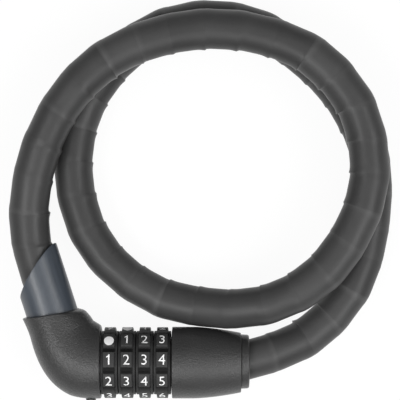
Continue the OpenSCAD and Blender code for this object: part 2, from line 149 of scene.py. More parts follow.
def roundedLoop(corners, radii, steps, gap):
    # a closed outline with each corner p rounded by a quadratic curve (1 - t)^2 start + 2 t (1 - t) p + t^2 stop,
    # from one radius before it to one after; straight runs are divided so that no step is longer than gap
    corners = np.array(corners, float)
    points = []
    t = np.linspace(0, 1, steps)[:, None]
    for k in range(len(corners)):
        before, here, after = corners[k - 1], corners[k], corners[(k + 1) % len(corners)]
        start = here + (before - here) / np.linalg.norm(before - here) * radii[k]
        stop = here + (after - here) / np.linalg.norm(after - here) * radii[k]
        points.append((1 - t) ** 2 * start + 2 * t * (1 - t) * here + t ** 2 * stop)
    outline = []
    for k in range(len(points)):
        outline.append(points[k])
        run = points[(k + 1) % len(points)][0] - points[k][-1]
        parts = max(1, int(np.ceil(np.linalg.norm(run) / gap)))
        outline.append(points[k][-1] + run * (np.arange(1, parts) / parts)[:, None])
    return np.concatenate([p for p in outline if len(p)])


def lathe(name, outline, sides, body, liftY=0.0):
    # every outline point (x, r) turns about the barrel's axis: (x, axisY + r sin a, axisZ + r cos a)
    a = onceRound(sides)
    x, r = outline[:, :1], outline[:, 1:]
    verts = np.stack([x + 0 * a, axisY + liftY + r * np.sin(a), axisZ + r * np.cos(a)], -1)
    return putMesh(name, verts, gridQuads(len(outline), sides, True, True), body)


# the cable's route: the construction's own points, in metres, but for four that lean closer on the housing
cable = {
    "radius": 7.5 * mm, "skin": 1.0 * mm, "shellPitch": 13.6 * mm,
    "firstJoint": 21.35 * mm,  # distance of the first whole shell's joint from the rope's start
    "hidden": 13 * mm,         # how far the skin stays back from each end of the rope
    # where the joints have slipped along the rope, and by how much
    "slipAt": [70 * mm, 230 * mm, 560 * mm, 620 * mm], "slip": [5.3 * mm, 0, 0.3 * mm, -1 * mm],
    "soften": 0.8 * mm,        # how far the skin rounds the corner over a joint
    "fold": 0.68 * mm,         # height of the skin's fold inside a bend
    "foldBend": 13,            # the bend at a joint, in degrees, that gives that height
    "foldReach": 1.5,          # how quickly the fold ends on the way round from the inside
    "foldBefore": 0.9 * mm,    # how quickly it rises before a joint
    "foldAfter": 2.4 * mm,     # how slowly it falls after one
    # where the folds are slighter or stronger, and by what share
    "foldAt": [300 * mm, 340 * mm, 440 * mm, 500 * mm], "foldShare": [1, 0.62, 0.62, 1.15],
    "dip": 0.06 * mm,          # depth of the ring mark at a joint
    "dipWidth": 0.8 * mm,
    "rim": 0.05 * mm,          # height of a shell's rim under the skin
    "rimBack": 1.9 * mm,       # how far before the joint it stands
    "rimWidth": 0.7 * mm,
    "waver": 0.3 * mm,         # how far the joints stand up and down out of line
    "inLine": 4,               # joints at each end that stay in line
    "nearFloor": 1 * mm,       # how high the skin may stand and still count as lying on the floor
    "swell": 0.06 * mm,        # how much the shells differ in thickness under the skin
    "oval": 0.2 * mm,          # how far each shell is from round
    "ovalMost": 1.4,           # the largest sum of the oval's two waves
    "held": 0.8,               # share of a shell's length that keeps its swell and its oval
    "uneven": 0.045 * mm,      # slight unevenness all over
    "seeds": {"waver": 5, "shells": 8, "uneven": 11},
    "sides": 56, "curveSteps": 12, "ringsPerShell": 18,
    "innerStep": 6,            # rings of the outside to each ring of the inside
}
corner = np.array([-50.65, -62.5, 13.7]) * mm
elbowTurn = np.radians(72)
mouthDir = np.array([-np.cos(elbowTurn), np.sin(elbowTurn), 0])
coilLow, coilHigh = 7.6, 22.8
barrelEnd = np.array([[2.05, -62.5, 13.7], [8.05, -62.5, 13.7], [13.55, -62.5, 13.7]]) * mm
routeMiddle = np.array([
    [20, -61.2, 13.4], [37, -55.8, 9.4], [48.8, -47.4, coilLow], [58, -36, coilLow],
    [63.9, -21.2, coilLow], [67, -2, coilLow], [66, 18.2, coilLow],
    [56.9, 38.2, coilLow], [42.6, 54, coilLow], [23, 66.6, coilLow],
    [3.5, 70.3, coilLow], [-14, 67, coilLow], [-29.7, 57.2, coilLow],
    [-42, 42.5, coilLow], [-48.5, 25, coilLow], [-49, 7, coilLow],
    [-44, -11.5, coilLow], [-33, -26.5, 7.7], [-16.5, -37.3, 9.2], [1, -41.4, 12.2],
    [16, -41.7, 17], [29, -38.9, 20], [41, -32.5, 22], [51, -23, coilHigh],
    [59, -10, coilHigh], [64.1, 5, coilHigh], [63.5, 23, coilHigh],
    [56.8, 40.2, coilHigh], [41.3, 55.8, coilHigh], [22, 63, coilHigh],
    [3, 65, coilHigh], [-16, 62, coilHigh], [-33, 55, coilHigh],
    [-46.2, 44, 22.6], [-56.5, 29.5, 21], [-63, 12.5, 18.2], [-65.8, -4, 15.2],
]) * mm
plugEnd = corner + np.array([[44], [32], [20], [6.1]]) * mm * mouthDir
route = np.concatenate([barrelEnd, routeMiddle, plugEnd])


def smoothCurve(points, steps):
    # Catmull-Rom spans: half of 2b + t(c-a) + t^2(2a-5b+4c-d) + t^3(3b-a-3c+d)
    padded = np.vstack([2 * points[0] - points[1], points, 2 * points[-1] - points[-2]])
    a, b, c, d = (padded[k:len(padded) - 3 + k, None] for k in range(4))
    t = (np.arange(steps) / steps)[None, :, None]
    spans = 0.5 * (2 * b + t * (c - a) + t ** 2 * (2 * a - 5 * b + 4 * c - d) + t ** 3 * (3 * b - a - 3 * c + d))
    return np.vstack([spans.reshape(-1, 3), points[-1]])


def distances(points):
    # the sum of the lengths of the chords up to each point
    return np.concatenate([[0], np.cumsum(np.linalg.norm(np.diff(points, axis=0), axis=1))])


def placeAt(points, travel, s):
    # the point at distance s along the line, on the straight between its neighbours
    return np.stack([np.interp(s, travel, points[:, k]) for k in range(3)], -1)


def unit(v):
    # v divided by its length
    return v / np.linalg.norm(v, axis=-1, keepdims=True)


curve = smoothCurve(route, cable["curveSteps"])
curveTravel = distances(curve)
routeLen = curveTravel[-1]
skinEnd = routeLen - cable["hidden"]
even = np.arange(cable["firstJoint"], skinEnd, cable["shellPitch"])
slipped = even + np.interp(even, cable["slipAt"], cable["slip"])
joints = placeAt(curve, curveTravel, np.concatenate([[0, cable["hidden"]], slipped, [skinEnd, routeLen]]))
shellCount = len(joints) - 1
print("cable:", round(routeLen, 4), "m,", shellCount, "shells")


def softened(points, width, ringsPerSpan):
    # the straight-sided line through the joints, averaged with a bell-shaped weight of the given width,
    # so that each corner is rounded; the ends run on straight while it is averaged
    ends = 4
    first = points[0] - (points[1] - points[0]) * np.arange(ends, 0, -1)[:, None]
    last = points[-1] + (points[-1] - points[-2]) * np.arange(1, ends + 1)[:, None]
    line = np.vstack([first, points, last])
    travel = distances(line)
    fine = 0.1 * mm
    s = np.arange(0, travel[-1], fine)
    reach = int(4 * width / fine)
    bell = np.exp(-0.5 * (np.arange(-reach, reach + 1) * fine / width) ** 2)
    bell /= bell.sum()
    dense = placeAt(line, travel, s)
    dense = np.stack([np.convolve(dense[:, k], bell, "same") for k in range(3)], -1)
    jointS = travel[ends:ends + len(points)]
    ringS = np.interp(np.arange((len(points) - 1) * ringsPerSpan + 1) / ringsPerSpan,
                      np.arange(len(points)), jointS)
    return placeAt(dense, s, ringS), ringS, jointS


def sweepFrame(centres):
    # tangent from neighbours; side = up x tangent, which points to the inside of the coil; top = tangent x side
    tangent = unit(np.gradient(centres, axis=0))
    side = unit(np.cross([0, 0, 1], tangent))
    return side, np.cross(tangent, side)


def ringsAround(centres, radius, sides):
    # centre + radius (cos a side + sin a top)
    side, top = sweepFrame(centres)
    a = onceRound(sides)[None, :, None]
    return centres[:, None] + radius[..., None] * (np.cos(a) * side[:, None] + np.sin(a) * top[:, None])


def wovenNoise(rows, cols, coarse, seed):
    # random values on a coarse grid, joined by straight lines both ways and wrapped round the tube
    grid = np.random.default_rng(seed).uniform(-1, 1, coarse)
    grid = np.hstack([grid, grid[:, :1]])
    across = np.stack([np.interp(np.linspace(0, coarse[1], cols, endpoint=False),
                                 np.arange(coarse[1] + 1), row) for row in grid])
    at = np.linspace(0, coarse[0] - 1, rows)
    return np.stack([np.interp(at, np.arange(coarse[0]), col) for col in across.T], -1)


def makeCable():
    # each joint is moved up or down by a random share of the waver, and only up where the cable lies on the floor
    skinJoints = joints[1:-1].copy()
    loose = slice(cable["inLine"], -cable["inLine"])
    heights = skinJoints[loose, 2]
    waver = cable["waver"] * np.random.default_rng(cable["seeds"]["waver"]).uniform(-1, 1, len(heights))
    skinJoints[loose, 2] += np.where(heights < cable["radius"] + cable["nearFloor"], abs(waver), waver)
    centres, ringS, jointS = softened(skinJoints, cable["soften"], cable["ringsPerShell"])
    rows, sides = len(centres), cable["sides"]
    a = onceRound(sides)[None, :]
    nearest = np.abs(ringS[:, None] - jointS[None, 1:-1]).argmin(1) + 1
    off = (ringS - jointS[nearest])[:, None]
    chords = unit(np.diff(skinJoints, axis=0))
    bend = np.degrees(np.arccos(np.clip((chords[1:] * chords[:-1]).sum(1), -1, 1)))
    bendHere = np.interp(ringS, jointS[1:-1], bend) / cable["foldBend"]
    foldShare = np.interp(ringS - jointS[0] + cable["hidden"], cable["foldAt"], cable["foldShare"])
    fold = (cable["fold"] * foldShare * bendHere)[:, None] * np.clip(np.cos(a), 0, 1) ** cable["foldReach"]
    foldWidth = np.where(off < 0, cable["foldBefore"], cable["foldAfter"])
    # each shell has its own swell and its own oval, held along most of its length
    shells = np.interp(ringS, jointS, np.arange(len(jointS)))
    whole = np.floor(shells)
    held = whole + softStep((shells - whole - cable["held"]) / (1 - cable["held"]))
    chance = np.random.default_rng(cable["seeds"]["shells"])
    swell, ovalCos, ovalSin = (np.interp(held, np.arange(len(jointS)), v)[:, None]
                               for v in chance.uniform(-1, 1, (3, len(jointS))))
    # radius = plain - dip at the joint + fold inside the bend, steeper before the joint than after it
    #   + rim of the shell before it + swell + oval (cos 2a, sin 2a) + slight unevenness
    uneven = wovenNoise(rows, sides, (shellCount * 2, 7), cable["seeds"]["uneven"])
    radius = (cable["radius"]
              - cable["dip"] * np.exp(-(off / cable["dipWidth"]) ** 2)
              + fold * np.exp(-(off / foldWidth) ** 2)
              + cable["rim"] * np.exp(-((off + cable["rimBack"]) / cable["rimWidth"]) ** 2)
              + cable["swell"] * swell
              + cable["oval"] * (ovalCos * np.cos(2 * a) + ovalSin * np.sin(2 * a)) / cable["ovalMost"]
              + cable["uneven"] * uneven)
    outer = ringsAround(centres, radius, sides)
    outer[..., 2] = np.maximum(outer[..., 2], 0)
    innerCentres = centres[::cable["innerStep"]]
    inner = ringsAround(innerCentres, np.full((len(innerCentres), sides), cable["radius"] - cable["skin"]), sides)
    verts = np.concatenate([outer.reshape(-1, 3), inner.reshape(-1, 3)])
    outerQuads = gridQuads(rows, sides, False, True)
    innerQuads = gridQuads(len(inner), sides, False, True)[:, ::-1] + rows * sides
    k = np.arange(sides)
    kNext = (k + 1) % sides
    base, lastOuter, lastInner = rows * sides, (rows - 1) * sides, rows * sides + (len(inner) - 1) * sides
    startCap = np.stack([k, kNext, base + kNext, base + k], -1)
    endCap = np.stack([lastOuter + kNext, lastOuter + k, lastInner + k, lastInner + kNext], -1)
    quads = np.concatenate([outerQuads, innerQuads, startCap, endCap])
    # uv: whole shells along the cable, turns round it
    turn = np.concatenate([np.tile(np.arange(sides) / sides, rows), np.tile(np.arange(sides) / sides, len(inner))])
    shell = np.concatenate([np.repeat(shells, sides), np.repeat(np.linspace(0, shells[-1], len(inner)), sides)])
    uv = np.stack([shell[quads], turn[quads]], -1)
    wraps = (uv[..., 1].max(1) - uv[..., 1].min(1)) > 0.5
    uv[..., 1] += wraps[:, None] * (uv[..., 1] < 0.5)
    piece = putMesh("cable_skin", verts, quads, None, uv, sharp=60)
    return piece, centres


rope = {"r": 3 * mm, "ringsPerShell": 10, "sides": 36, "lay": 26 * mm, "full": 0.99, "lobe": 0.14}


def makeRope():
    # six strands: radius = r (full - lobe (1 - |cos 3(a - twist)|)), where the twist makes one turn in each lay
    centres, ringS, _ = softened(joints, cable["soften"], rope["ringsPerShell"])
    sides = rope["sides"]
    a = onceRound(sides)[None, :]
    twist = ringS[:, None] / rope["lay"] * 2 * np.pi
    radius = rope["r"] * (rope["full"] - rope["lobe"] * (1 - np.abs(np.cos(3 * (a - twist)))))
    rings = ringsAround(centres, radius, sides)
    quads = gridQuads(len(centres), sides, False, True)
    centreIndex = rings[:, :, 0].size
    verts = np.concatenate([rings.reshape(-1, 3), centres[:1], centres[-1:]])
    k = np.arange(0, sides, 2)
    last = (len(centres) - 1) * sides
    startCap = np.stack([k, (k + 1) % sides, (k + 2) % sides, np.full(len(k), centreIndex)], -1)
    endCap = np.stack([last + (k + 2) % sides, last + (k + 1) % sides, last + k,
                       np.full(len(k), centreIndex + 1)], -1)
    return putMesh("wire_rope", verts, np.concatenate([quads, startCap[:, ::-1], endCap[:, ::-1]]),
                   None, sharp=60)


def looseCopy(node, name):
    # the same surface as a CAD node, with its doubled corners merged
    piece = bpy.data.objects.new(name, frame["nodes"][node].data.copy())
    scene.collection.objects.link(piece)
    work = bmesh.new()
    work.from_mesh(piece.data)
    bmesh.ops.remove_doubles(work, verts=work.verts, dist=1e-6)
    work.to_mesh(piece.data)
    work.free()
    return piece


cableSkin, skinCentres = makeCable()
wireRope = makeRope()
armour = looseCopy("armour_shells", "armour")
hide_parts("cable_sheath")
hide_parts("cable_rope")
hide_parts("armour_shells")
# the cable's pieces have their placement baked into their meshes
for piece in (cableSkin, wireRope, armour):
    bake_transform(piece)

# barrel housing and collar
housing = {"taper": 2.2 * mm, "straight": 0.3, "power": 1.6, "wall": 1.6 * mm, "edge": 0.35 * mm,
           "steps": 60, "sides": 160}
collar = {"bore": 9 * mm, "fall": 0.15 * mm, "sides": 128,
          "rounds": [0.25 * mm, 0.9 * mm, 0.3 * mm, 0.1 * mm]}   # outer near and far edge, inner far and near edge


def makeHousing():
    # outline: straight for its share, then r = plain - taper (way to the cable end) ^ power
    x0, x1 = housingLow[0], housingHigh[0]
    length = x1 - x0
    u = np.linspace(0, 1, housing["steps"])
    way = np.clip((u - housing["straight"]) / (1 - housing["straight"]), 0, 1)
    rOut = barrelR - housing["taper"] * way ** housing["power"]
    e = housing["edge"]
    q = np.linspace(0, np.pi / 2, 6)
    body = np.stack([x0 + e + u * (length - 2 * e), rOut], -1)
    endR = rOut[-1]
    nearCorner = np.stack([x0 + e - e * np.cos(q), barrelR - e + e * np.sin(q)], -1)
    farCorner = np.stack([x1 - e + e * np.sin(q), endR - e + e * np.cos(q)], -1)
    back = np.stack([x1 - u * length, rOut[::-1] - housing["wall"]], -1)
    outline = np.concatenate([nearCorner, body[1:-1], farCorner, back])
    return lathe("housing_shell", outline, housing["sides"], "barrel")


def makeCollar():
    # a ring between the bore and the collar's radius, which falls a little to its far end, with rounded corners
    low, high, mid = middle("end_collar")
    r = (high[1] - low[1]) / 2
    corners = [[low[0], r], [high[0], r - collar["fall"]], [high[0], collar["bore"]], [low[0], collar["bore"]]]
    outline = roundedLoop(corners, collar["rounds"], steps=6, gap=0.6 * mm)
    return lathe("collar", outline, collar["sides"], "barrel", liftY=mid[1] - axisY)


housingShell = makeHousing()
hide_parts("barrel_housing")
collarPiece = makeCollar()
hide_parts("end_collar")

# elbow cover
elbow = {
    "bend": 17 * mm, "mouthReach": 20 * mm, "faceX": -37.95 * mm, "mouthR": 11.45 * mm, "sides": 144,
    # share of the way from the barrel's shape to the mouth's: at the dials, at both ends of the arc,
    # halfway from there to the mouth, and at the mouth
    "shares": [0, 0.05, 0.75, 0.88, 1],
    "grow": 1.3,             # power of the share by which the outside grows to the mouth's radius
    "fill": 2.75 * mm,       # how far the inner side of the bend is filled out
    "fillRise": 0.45, "fillEnd": 6,
    "square": 1.3 * mm,      # how far the outer side stands out before the middle, and in after it
    "squareRise": 4,
    "lean": 7.7,             # degrees that the mouth's rim leans from square
    "edge": 0.4 * mm,        # rounding beside the dials
    "rim": 0.25 * mm,        # rounding of the mouth's rim, on its outer side
    "lip": 2.2 * mm,         # and on its inner side
    "lipFrom": 0.1, "lipOver": 0.75,
    "seat": 9.9 * mm,        # radius of the seat for the cable
    "wallDial": 1.75 * mm, "seatFrom": 0.6,
    "gap": 0.3 * mm,         # how far the seat opens at the mouth
    "gapRun": 3 * mm,
    "steps": 70, "backSteps": 40, "endSteps": 8,
}
bendLen = elbow["bend"] * np.tan(elbowTurn / 2)
bendStart = corner[0] + bendLen
leadIn = elbow["faceX"] - bendStart
arcLen = elbow["bend"] * elbowTurn
leadOut = elbow["mouthReach"] - bendLen
elbowLen = leadIn + arcLen + leadOut


def elbowAxis(s):
    # straight, then an arc of the bend's radius, then straight; gives centre, inward direction and share.
    # In the last straight the inward direction leans back by the tangent of the rim's lean
    angle = np.clip((s - leadIn) / elbow["bend"], 0, elbowTurn)
    centre = np.stack([bendStart - elbow["bend"] * np.sin(angle),
                       axisY + elbow["bend"] * (1 - np.cos(angle)), 0 * s + axisZ], -1)
    before, after = np.minimum(s - leadIn, 0), np.maximum(s - leadIn - arcLen, 0)
    centre = centre - before[..., None] * np.array([1, 0, 0]) + after[..., None] * mouthDir
    inward = np.stack([np.sin(angle), np.cos(angle), 0 * s], -1)
    inward = inward - (after / leadOut * np.tan(np.radians(elbow["lean"])))[..., None] * mouthDir
    stations = [0, leadIn, leadIn + arcLen, leadIn + arcLen + leadOut / 2, elbowLen]
    share = np.interp(s, stations, elbow["shares"])
    return centre, inward, share


def makeElbow():
    # outer radius = barrel's + (mouth's - barrel's) u^grow, where u is the share of the way
    #   + fill u^fillRise (1 - u^fillEnd) on the inner side + square sin(360 u) on the outer side,
    #   both by the cube of the cosine, less a quarter round at each end, which is wider on the mouth's inner side
    a = onceRound(elbow["sides"])
    c, up = np.cos(a)[None, :], np.sin(a)[None, :]
    steps = np.linspace(0, 1, elbow["endSteps"])
    edge = elbow["edge"]
    lipRound = elbow["rim"] + (elbow["lip"] - elbow["rim"]) * softStep((c - elbow["lipFrom"]) / elbow["lipOver"])
    endRound = 1 - np.cos(steps * np.pi / 2)[:, None]
    run = np.linspace(edge, elbowLen - elbow["lip"], elbow["steps"])[:, None] + 0 * c
    startRun = (edge * endRound + 0 * c)[:-1]
    lastRun = elbowLen - lipRound * (1 - np.sin(steps[:, None] * np.pi / 2))
    s = np.concatenate([startRun, run[:-1], lastRun])
    s = np.maximum.accumulate(s, axis=0)
    drop = np.concatenate([
        edge * (1 - np.sin(steps[:-1, None] * np.pi / 2)) + 0 * c,
        0 * run[:-1],
        lipRound * (1 - np.cos(steps[:, None] * np.pi / 2))])
    centre, inward, u = elbowAxis(s)
    plain = barrelR + (elbow["mouthR"] - barrelR) * u ** elbow["grow"]
    inner = elbow["fill"] * u ** elbow["fillRise"] * (1 - u ** elbow["fillEnd"])
    outer = elbow["square"] * np.sin(2 * np.pi * u) * np.minimum(1, elbow["squareRise"] * u)
    radius = plain + inner * np.clip(c, 0, 1) ** 3 + outer * np.clip(-c, 0, 1) ** 3 - drop
    # the inside runs back from the mouth to the dials, and opens by the gap in the mouth's last run
    back = np.linspace(elbowLen, 0, elbow["backSteps"])[:, None] + 0 * c
    backCentre, backInward, backU = elbowAxis(back)
    toDials = np.clip(1 - backU / elbow["seatFrom"], 0, 1)
    seat = elbow["seat"] + (barrelR - elbow["wallDial"] - elbow["seat"]) * toDials
    seat = seat + elbow["gap"] * softStep((back - elbowLen) / elbow["gapRun"] + 1)
    centre, inward = np.concatenate([centre, backCentre]), np.concatenate([inward, backInward])
    radius = np.concatenate([radius, seat])
    verts = centre + radius[..., None] * (c[..., None] * inward + up[..., None] * np.array([0, 0, 1]))
    return putMesh("elbow_shell", verts, gridQuads(len(radius), elbow["sides"], True, True),
                   "plug")


elbowShell = makeElbow()
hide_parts("elbow_cover")

# sleeve on the cable, cut off at a slant
sleeve = {"r": 9.8 * mm, "bore": 7.9 * mm, "start": 12.65 * mm, "length": 17.1 * mm, "slant": 39, "lean": 12,
          "reach": 30 * mm, "sides": 144, "rounds": [0.2 * mm, 0.3 * mm, 0.25 * mm, 0.2 * mm]}


def makeSleeve():
    # the cut's height over the mouth = length + tan(slant)/cos(lean) inward + tan(lean) upward
    sides, reach = sleeve["sides"], sleeve["reach"]
    a = onceRound(sides)[None, :]
    corners = [[0, sleeve["r"]], [reach, sleeve["r"]], [reach, sleeve["bore"]], [0, sleeve["bore"]]]
    outline = roundedLoop(corners, sleeve["rounds"], steps=6, gap=0.9 * mm)
    t, r = outline[:, :1] / reach, outline[:, 1:]
    slope = np.tan(np.radians(sleeve["slant"])) / np.cos(np.radians(sleeve["lean"]))
    lean = np.tan(np.radians(sleeve["lean"]))
    cut = elbow["mouthReach"] + sleeve["length"] + r * (slope * np.cos(a) + lean * np.sin(a))
    s = sleeve["start"] + t * (cut - sleeve["start"])
    inward = np.array([mouthDir[1], -mouthDir[0], 0])
    verts = (corner + s[..., None] * mouthDir
             + r[..., None] * (np.cos(a)[..., None] * inward + np.sin(a)[..., None] * np.array([0, 0, 1])))
    quads = gridQuads(len(outline), sides, True, True)
    turn = np.tile(np.arange(sides) / sides, len(outline))
    run = s.ravel() / reach
    uv = np.stack([turn[quads], run[quads]], -1)
    uv[..., 0] += ((uv[..., 0].max(1) - uv[..., 0].min(1)) > 0.5)[:, None] * (uv[..., 0] < 0.5)
    return putMesh("sleeve", verts, quads, "plug", uv)


sleevePiece = makeSleeve()
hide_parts("strain_sleeve")

# index stud under the elbow
stud = {"r": 2 * mm, "sides": 48,
        "outline": [[0.02, 0], [1, 0], [1, 0.12], [0.9, 0.45], [0.78, 0.8], [0.66, 0.96], [0.5, 1], [0.02, 1]]}


def makeStud():
    # outline: shares of the stud's radius and of its length, turned about the line along y through its middle
    low, high, mid = middle("index_stud")
    outline, sides = np.array(stud["outline"]), stud["sides"]
    a = onceRound(sides)[None, :]
    r, h = outline[:, :1] * stud["r"], outline[:, 1:] * (high[1] - low[1])
    verts = np.stack([mid[0] + r * np.cos(a), high[1] - h + 0 * a, mid[2] + r * np.sin(a)], -1)
    quads = gridQuads(len(outline), sides, True, True)
    return putMesh("stud", verts, quads, "plug")


studPiece = makeStud()
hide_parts("index_stud")
print("barrel and plug covers made")

# dials and their numerals
dial = {
    "count": 4, "digits": 10, "padR": 13.55 * mm, "bandR": 12.15 * mm, "boreR": 9.2 * mm, "edge": 0.1 * mm,
    "turn": 10.9,             # how far each row of numerals stands past straight up, in degrees
    "padHalf": 2.25 * mm,     # half of a pad's width along the axis
    "padSide": 0.28 * mm,     # how far its sides lean
    "padOver": 0.05 * mm,     # how far their feet stand beyond that half
    "topHalf": 11.6,          # half of a pad's top, in degrees
    "footHalf": 15.6,         # half of its foot, in degrees
    "keyAt": 90, "keySlope": 0.4, "keyDepth": 0.8 * mm, "keyWidth": 2 * mm, "keyHalf": 2.15 * mm,
    # painted light on the dials: the grooves between the rows get a painted shade and the band beside the pads stays
    # lighter as a painted highlight; the edge's width, its share of the pads' colour, and the power of the fall into
    # the grooves
    "edgeLightWidth": 0.2 * mm, "edgeLightShare": 0.72, "grooveShadePower": 0.5,
    # lines of corners: degrees from a pad's middle, then mm along the axis on a pad, from the top of its side,
    # beside the pads and in the bore
    "linesRound": [0, 3, 6, 8.5, 10, 10.8, 11.4, 12, 12.8, 13.6, 14.4, 15, 15.5, 16.1, 17, 18],
    "linesPad": [0, 0.8, 1.5], "linesSide": [-0.15, 0, 0.09, 0.18, 0.28, 0.36], "linesBeside": [2.75, 2.95, 3.1],
    "linesBore": [3.1, 2.16, 2.14, -2.14, -2.16, -3.1],
}


def makeDial(k):
    # radius = band + (pad - band) times a soft step along the axis times one round it, a pad at every tenth turn
    low, high, mid = middle(f"dial_{k}")
    half = (high[0] - low[0]) / 2
    step = 360 / dial["digits"]
    offsets = np.array(dial["linesRound"])
    offsets = np.concatenate([-offsets[:0:-1], offsets])[1:]
    keyAt, keyAngle = dial["keyAt"], np.degrees(dial["keyWidth"] / 2 / dial["boreR"])
    keyLines = np.array([-keyAngle, keyAngle, -keyAngle - dial["keySlope"], keyAngle + dial["keySlope"]])
    angles = (dial["turn"] + step * np.arange(dial["digits"])[:, None] + offsets[None, :]).ravel()
    angles = np.unique(np.round(np.concatenate([angles, keyAt + keyLines]) % 360, 3))
    # outer wall: band + pad, where the pad is the product of a soft step along x and one round the axis
    p, ps = dial["padHalf"], dial["padSide"]
    side = (p - ps) / mm + np.array(dial["linesSide"])
    xs = np.concatenate([dial["linesPad"], side, dial["linesBeside"]]) * mm
    xs = np.concatenate([-xs[:0:-1], xs])
    away = np.abs((angles - dial["turn"] + step / 2) % step - step / 2)
    around = softStep((dial["footHalf"] - away) / (dial["footHalf"] - dial["topHalf"]))
    along = softStep((p + dial["padOver"] - np.abs(xs)) / ps)
    outer = dial["bandR"] + (dial["padR"] - dial["bandR"]) * along[:, None] * around[None, :]
    # inner wall: bore, with the key standing in from it
    inX = np.array(dial["linesBore"]) * mm
    onKey = np.abs(angles - keyAt)[None, :] < keyAngle + dial["keySlope"] / 2
    inner = dial["boreR"] - dial["keyDepth"] * ((np.abs(inX)[:, None] < dial["keyHalf"]) & onKey)
    outerEdge, boreEdge = (np.full((1, len(angles)), v) for v in (dial["bandR"] - dial["edge"],
                                                                  dial["boreR"] + dial["edge"]))
    rows = [(-half, outerEdge), (xs, outer), (half, outerEdge), (half, boreEdge), (inX, inner), (-half, boreEdge)]
    x = np.concatenate([np.atleast_1d(v) for v, _ in rows])[:, None]
    r = np.concatenate([v for _, v in rows])
    a = np.radians(angles)[None, :]
    verts = np.stack([mid[0] + x + 0 * a, axisY + r * np.sin(a), axisZ + r * np.cos(a)], -1)
    # grooveShadeEdgeLight: 0 in the grooves between the rows, which take a painted shade, 1 on the pads, and a share
    # of that beside them, kept lighter as a painted highlight on the band's edges
    beside = softStep((np.abs(x) - p) / dial["edgeLightWidth"])
    grooveShadeEdgeLight = around[None, :] ** dial["grooveShadePower"] * (1 - beside) + dial["edgeLightShare"] * beside
    piece = putMesh(f"number_dial_{k}", verts, gridQuads(len(x), len(angles), True, True),
                    f"dial_body_{k}", sharp=35)
    layer = piece.data.attributes.new("grooveShadeEdgeLight", "FLOAT", "POINT")
    layer.data.foreach_set("value", grooveShadeEdgeLight.astype(np.float32).ravel())
    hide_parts(f"dial_{k}")
    return mid[0]


numeral = {
    "height": 3.85 * mm, "dotR": 1.85 * mm, "dotTall": 1.12, "dotDrop": 0.42, "dotSides": 48,
    "stroke": -0.004,   # how much wider the strokes are than the plain letter's
    "ink": 0.035 * mm,  # half the thickness of a numeral
    "cuts": np.linspace(-2.7, 2.1, 13) * mm,
    "one": [(0.12, 0), (0.12, 1), (0.03, 1), (-0.05, 0.88), (-0.2, 0.79), (-0.2, 0.68), (-0.015, 0.77), (-0.015, 0)],
    "oneMiddle": [0.02, 0.5],
}


def cornersOf(mesh):
    # the positions of a mesh's corners, one row each
    co = np.empty(len(mesh.vertices) * 3)
    mesh.vertices.foreach_get("co", co)
    return co.reshape(-1, 3)


def letterMesh(text):
    # the flat mesh of one letter of the plain font, with the stroke's change
    letter = bpy.data.curves.new("numeral", "FONT")
    letter.body = text
    letter.resolution_u = 8
    letter.offset = numeral["stroke"]
    holder = bpy.data.objects.new("numeral", letter)
    scene.collection.objects.link(holder)
    bpy.context.view_layer.update()
    flat = bpy.data.meshes.new_from_object(holder.evaluated_get(bpy.context.evaluated_depsgraph_get()))
    bpy.data.objects.remove(holder)
    bpy.data.curves.remove(letter)
    return flat


def flatDigit(text):
    # a numeral as a thin flat mesh: 0 is the dot r (cos a, tall sin a - drop), 1 is its outline times the height,
    # and the others are letters brought to the height; each is then raised by twice the ink
    work = bmesh.new()
    if text in "01":
        a = onceRound(numeral["dotSides"])
        dot = np.stack([np.cos(a), numeral["dotTall"] * np.sin(a) - numeral["dotDrop"]], -1)
        one = np.array(numeral["one"]) - numeral["oneMiddle"]
        outline = numeral["dotR"] * dot if text == "0" else numeral["height"] * one
        flat = bpy.data.meshes.new("numeral")
        flat.from_pydata(np.pad(outline, ((0, 0), (0, 1))).tolist(), [], [list(range(len(outline)))])
        work.from_mesh(flat)
    else:
        flat = letterMesh(text)
        work.from_mesh(flat)
        bmesh.ops.remove_doubles(work, verts=work.verts, dist=1e-5)
        work.to_mesh(flat)
        co = cornersOf(flat)
        low, high = co.min(0), co.max(0)
        scale = numeral["height"] / (high[1] - low[1])
        bmesh.ops.translate(work, verts=work.verts, vec=tuple(-(low + high) / 2))
        bmesh.ops.scale(work, verts=work.verts, vec=(scale, scale, scale))
    bpy.data.meshes.remove(flat)
    # cut across at even heights, so that it can follow the round pad
    for height in numeral["cuts"]:
        geometry = work.verts[:] + work.edges[:] + work.faces[:]
        bmesh.ops.bisect_plane(work, geom=geometry, plane_co=(0, height, 0), plane_no=(0, 1, 0), dist=1e-7)
    raised = bmesh.ops.extrude_face_region(work, geom=work.faces[:])
    tops = [v for v in raised["geom"] if isinstance(v, bmesh.types.BMVert)]
    bmesh.ops.translate(work, verts=tops, vec=(0, 0, 2 * numeral["ink"]))
    bmesh.ops.recalc_face_normals(work, faces=work.faces)
    mesh = bpy.data.meshes.new("numeral")
    work.to_mesh(mesh)
    work.free()
    return mesh


def makeNumerals(k, dialX, flats):
    # (x, y, z) of a flat numeral goes to (dialX + x, and the pad's radius + z at the row's angle + y / radius)
    step = 360 / dial["digits"]
    work = bmesh.new()
    for digit in range(dial["digits"]):
        copy = flats[digit].copy()
        co = cornersOf(copy)
        angle = np.radians(dial["turn"] + step * (k - digit)) + co[:, 1] / dial["padR"]
        r = dial["padR"] - numeral["ink"] + co[:, 2]
        wrapped = np.stack([dialX + co[:, 0], axisY + r * np.sin(angle), axisZ + r * np.cos(angle)], -1)
        copy.vertices.foreach_set("co", wrapped.ravel())
        work.from_mesh(copy)
        bpy.data.meshes.remove(copy)
    mesh = bpy.data.meshes.new(f"numerals_{k}")
    work.to_mesh(mesh)
    work.free()
    piece = bpy.data.objects.new(f"numerals_{k}", mesh)
    scene.collection.objects.link(piece)
    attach(piece, f"dial_body_{k}")
    return piece


